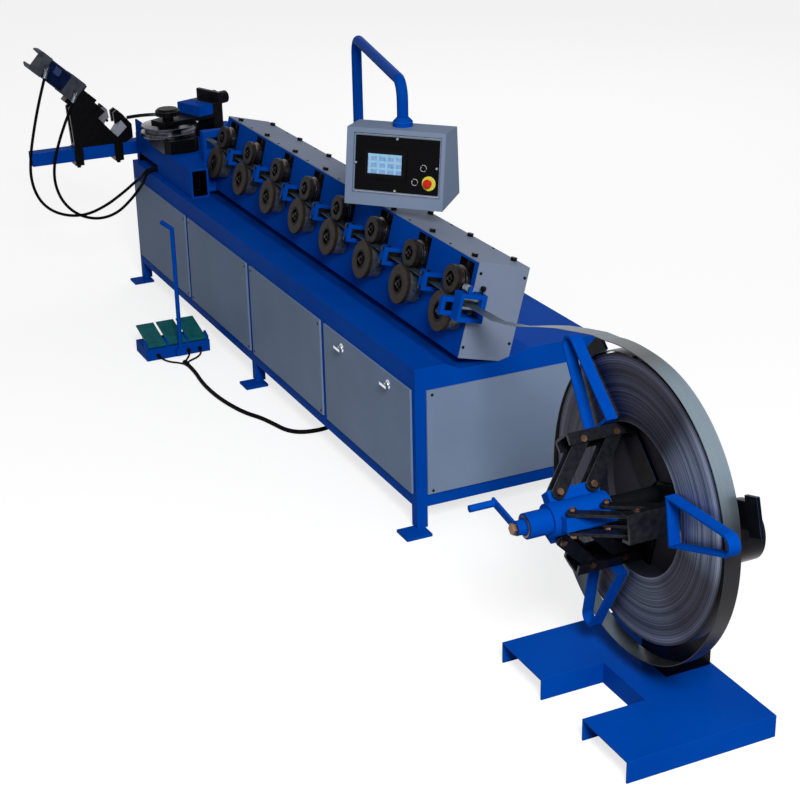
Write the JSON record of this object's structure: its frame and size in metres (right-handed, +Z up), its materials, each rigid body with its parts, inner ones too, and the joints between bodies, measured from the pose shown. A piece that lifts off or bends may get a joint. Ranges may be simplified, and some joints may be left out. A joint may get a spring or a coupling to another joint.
{
  "type": "round flange forming machine",
  "caption": "Roll former that turns coiled strip into round duct flanges: decoiler, roll stations, bending head, shear, control pendant and foot pedals.",
  "frame": {"origin": "on the floor, at the centre of the rectangle of the four corner anchor bolts of the cabinet", "axes": "+X along the machine towards the decoiler, +Z up, -Y towards the operator"},
  "size_m": [5.6882, 1.4892, 1.6569],
  "materials": {
    "blue_paint": "satin",
    "panel_grey": "satin",
    "cover_grey": "satin",
    "pendant_grey": "satin",
    "black_panel": "satin",
    "chrome_parts": "polished",
    "roll_steel": "machined",
    "dark_steel": "blackened",
    "strip_steel": "galvanised",
    "coil_steel": "wound strip",
    "bright_steel": "polished",
    "cylinder_grey": "satin",
    "pedal_teal": "hammered",
    "hose_rubber": "matt"
  },
  "bodies": {
    "machine": {"cabinet_body": "blue_paint", "cabinet_feet": "blue_paint", "front_panels": "panel_grey", "access_door": "panel_grey", "back_panels": "panel_grey", "end_panels": "panel_grey", "roll_housing": "blue_paint", "front_plate": "blue_paint", "bearing_blocks": "dark_steel", "stand_covers": "cover_grey", "adjusting_screws": "dark_steel", "side_guides": "blue_paint", "entry_guide": "blue_paint", "lead_strip": "strip_steel", "strip_loop": "coil_steel", "decoiler_base": "blue_paint", "decoiler_pedestal": "dark_steel", "end_platform": "blue_paint", "shear_beam": "blue_paint", "shear_frame": "dark_steel", "shear_cylinder": "cylinder_grey", "bending_base": "dark_steel", "press_cylinder": "blue_paint", "formed_flange": "bright_steel", "pendant_arm": "blue_paint", "pedal_base": "blue_paint", "shear_dies": "bright_steel", "hose_1": "hose_rubber", "hose_2": "hose_rubber", "pedal_cable": "hose_rubber"},
    "latch_left": {"door_latch_left": "chrome_parts"},
    "latch_right": {"door_latch_right": "chrome_parts"},
    "lower_roll_1_body": {"lower_roll_1": "roll_steel"},
    "upper_roll_1_body": {"upper_roll_1": "roll_steel"},
    "lower_roll_2_body": {"lower_roll_2": "roll_steel"},
    "upper_roll_2_body": {"upper_roll_2": "roll_steel"},
    "lower_roll_3_body": {"lower_roll_3": "roll_steel"},
    "upper_roll_3_body": {"upper_roll_3": "roll_steel"},
    "lower_roll_4_body": {"lower_roll_4": "roll_steel"},
    "upper_roll_4_body": {"upper_roll_4": "roll_steel"},
    "lower_roll_5_body": {"lower_roll_5": "roll_steel"},
    "upper_roll_5_body": {"upper_roll_5": "roll_steel"},
    "lower_roll_6_body": {"lower_roll_6": "roll_steel"},
    "upper_roll_6_body": {"upper_roll_6": "roll_steel"},
    "lower_roll_7_body": {"lower_roll_7": "roll_steel"},
    "upper_roll_7_body": {"upper_roll_7": "roll_steel"},
    "lower_roll_8_body": {"lower_roll_8": "roll_steel"},
    "upper_roll_8_body": {"upper_roll_8": "roll_steel"},
    "mandrel_body": {"mandrel": "blue_paint", "mandrel_segments": "dark_steel", "mandrel_arms": "blue_paint", "coil": "coil_steel"},
    "crank": {"crank_handle": "blue_paint"},
    "ram": {"shear_ram": "bright_steel"},
    "bender": {"bending_roll": "bright_steel"},
    "pendant": {"pendant_box": "pendant_grey", "control_panel": "black_panel"},
    "pedal_1_body": {"pedal_1": "pedal_teal"},
    "pedal_2_body": {"pedal_2": "pedal_teal"},
    "pedal_3_body": {"pedal_3": "pedal_teal"}
  },
  "joints": [
    {"name": "door_latch_left_turn", "type": "hinge", "parent": "machine", "child": "latch_left", "pos_m": [1.1245, -0.415, 0.56], "axis": [0, -1, 0], "range_deg": [0, 90]},
    {"name": "door_latch_right_turn", "type": "hinge", "parent": "machine", "child": "latch_right", "pos_m": [1.5845, -0.415, 0.56], "axis": [0, -1, 0], "range_deg": [0, 90]},
    {"name": "lower_roll_1_spin", "type": "hinge", "parent": "machine", "child": "lower_roll_1_body", "pos_m": [-0.859, -0.17496, 0.86446], "axis": [0, -0.968, 0.2511], "continuous": true},
    {"name": "upper_roll_1_spin", "type": "hinge", "parent": "machine", "child": "upper_roll_1_body", "pos_m": [-0.859, -0.14144, 0.99368], "axis": [0, -0.968, 0.2511], "continuous": true},
    {"name": "lower_roll_2_spin", "type": "hinge", "parent": "machine", "child": "lower_roll_2_body", "pos_m": [-0.4913, -0.17496, 0.86446], "axis": [0, -0.968, 0.2511], "continuous": true},
    {"name": "upper_roll_2_spin", "type": "hinge", "parent": "machine", "child": "upper_roll_2_body", "pos_m": [-0.4913, -0.14144, 0.99368], "axis": [0, -0.968, 0.2511], "continuous": true},
    {"name": "lower_roll_3_spin", "type": "hinge", "parent": "machine", "child": "lower_roll_3_body", "pos_m": [-0.1236, -0.17496, 0.86446], "axis": [0, -0.968, 0.2511], "continuous": true},
    {"name": "upper_roll_3_spin", "type": "hinge", "parent": "machine", "child": "upper_roll_3_body", "pos_m": [-0.1236, -0.14144, 0.99368], "axis": [0, -0.968, 0.2511], "continuous": true},
    {"name": "lower_roll_4_spin", "type": "hinge", "parent": "machine", "child": "lower_roll_4_body", "pos_m": [0.2441, -0.17496, 0.86446], "axis": [0, -0.968, 0.2511], "continuous": true},
    {"name": "upper_roll_4_spin", "type": "hinge", "parent": "machine", "child": "upper_roll_4_body", "pos_m": [0.2441, -0.14144, 0.99368], "axis": [0, -0.968, 0.2511], "continuous": true},
    {"name": "lower_roll_5_spin", "type": "hinge", "parent": "machine", "child": "lower_roll_5_body", "pos_m": [0.6118, -0.17496, 0.86446], "axis": [0, -0.968, 0.2511], "continuous": true},
    {"name": "upper_roll_5_spin", "type": "hinge", "parent": "machine", "child": "upper_roll_5_body", "pos_m": [0.6118, -0.14144, 0.99368], "axis": [0, -0.968, 0.2511], "continuous": true},
    {"name": "lower_roll_6_spin", "type": "hinge", "parent": "machine", "child": "lower_roll_6_body", "pos_m": [0.9795, -0.17496, 0.86446], "axis": [0, -0.968, 0.2511], "continuous": true},
    {"name": "upper_roll_6_spin", "type": "hinge", "parent": "machine", "child": "upper_roll_6_body", "pos_m": [0.9795, -0.14144, 0.99368], "axis": [0, -0.968, 0.2511], "continuous": true},
    {"name": "lower_roll_7_spin", "type": "hinge", "parent": "machine", "child": "lower_roll_7_body", "pos_m": [1.3472, -0.17496, 0.86446], "axis": [0, -0.968, 0.2511], "continuous": true},
    {"name": "upper_roll_7_spin", "type": "hinge", "parent": "machine", "child": "upper_roll_7_body", "pos_m": [1.3472, -0.14144, 0.99368], "axis": [0, -0.968, 0.2511], "continuous": true},
    {"name": "lower_roll_8_spin", "type": "hinge", "parent": "machine", "child": "lower_roll_8_body", "pos_m": [1.7149, -0.17496, 0.86446], "axis": [0, -0.968, 0.2511], "continuous": true},
    {"name": "upper_roll_8_spin", "type": "hinge", "parent": "machine", "child": "upper_roll_8_body", "pos_m": [1.7149, -0.14144, 0.99368], "axis": [0, -0.968, 0.2511], "continuous": true},
    {"name": "mandrel_spin", "type": "hinge", "parent": "machine", "child": "mandrel_body", "pos_m": [3.205, -0.2, 0.725], "axis": [0, 1, 0], "continuous": true},
    {"name": "crank_turn", "type": "hinge", "parent": "mandrel_body", "child": "crank", "pos_m": [3.205, -0.722, 0.725], "axis": [0, 1, 0], "continuous": true},
    {"name": "shear_ram_slide", "type": "slide", "parent": "machine", "child": "ram", "axis": [0, 0.7314, -0.682], "range_m": [0, 0.025]},
    {"name": "bending_roll_spin", "type": "hinge", "parent": "machine", "child": "bender", "pos_m": [-1.405, -0.31, 0.925], "axis": [0, 0, 1], "continuous": true},
    {"name": "pendant_swivel", "type": "hinge", "parent": "machine", "child": "pendant", "pos_m": [1.031, -0.065, 1.45], "axis": [0, 0, 1], "range_deg": [-60, 60]},
    {"name": "pedal_1_press", "type": "hinge", "parent": "machine", "child": "pedal_1_body", "pos_m": [-0.524, -0.733, 0.071], "axis": [0, -1, 0], "range_deg": [0, 12], "stiffness_Nm_per_rad": 4, "springref_deg": -20.05},
    {"name": "pedal_2_press", "type": "hinge", "parent": "machine", "child": "pedal_2_body", "pos_m": [-0.524, -0.626, 0.071], "axis": [0, -1, 0], "range_deg": [0, 12], "stiffness_Nm_per_rad": 4, "springref_deg": -20.05},
    {"name": "pedal_3_press", "type": "hinge", "parent": "machine", "child": "pedal_3_body", "pos_m": [-0.524, -0.519, 0.071], "axis": [0, -1, 0], "range_deg": [0, 12], "stiffness_Nm_per_rad": 4, "springref_deg": -20.05}
  ],
  "couplings": [
    {"joint": "upper_roll_1_spin", "follows": "lower_roll_1_spin", "ratio": -1},
    {"joint": "lower_roll_2_spin", "follows": "lower_roll_1_spin", "ratio": 1},
    {"joint": "upper_roll_2_spin", "follows": "lower_roll_1_spin", "ratio": -1},
    {"joint": "lower_roll_3_spin", "follows": "lower_roll_1_spin", "ratio": 1},
    {"joint": "upper_roll_3_spin", "follows": "lower_roll_1_spin", "ratio": -1},
    {"joint": "lower_roll_4_spin", "follows": "lower_roll_1_spin", "ratio": 1},
    {"joint": "upper_roll_4_spin", "follows": "lower_roll_1_spin", "ratio": -1},
    {"joint": "lower_roll_5_spin", "follows": "lower_roll_1_spin", "ratio": 1},
    {"joint": "upper_roll_5_spin", "follows": "lower_roll_1_spin", "ratio": -1},
    {"joint": "lower_roll_6_spin", "follows": "lower_roll_1_spin", "ratio": 1},
    {"joint": "upper_roll_6_spin", "follows": "lower_roll_1_spin", "ratio": -1},
    {"joint": "lower_roll_7_spin", "follows": "lower_roll_1_spin", "ratio": 1},
    {"joint": "upper_roll_7_spin", "follows": "lower_roll_1_spin", "ratio": -1},
    {"joint": "lower_roll_8_spin", "follows": "lower_roll_1_spin", "ratio": 1},
    {"joint": "upper_roll_8_spin", "follows": "lower_roll_1_spin", "ratio": -1}
  ]
}
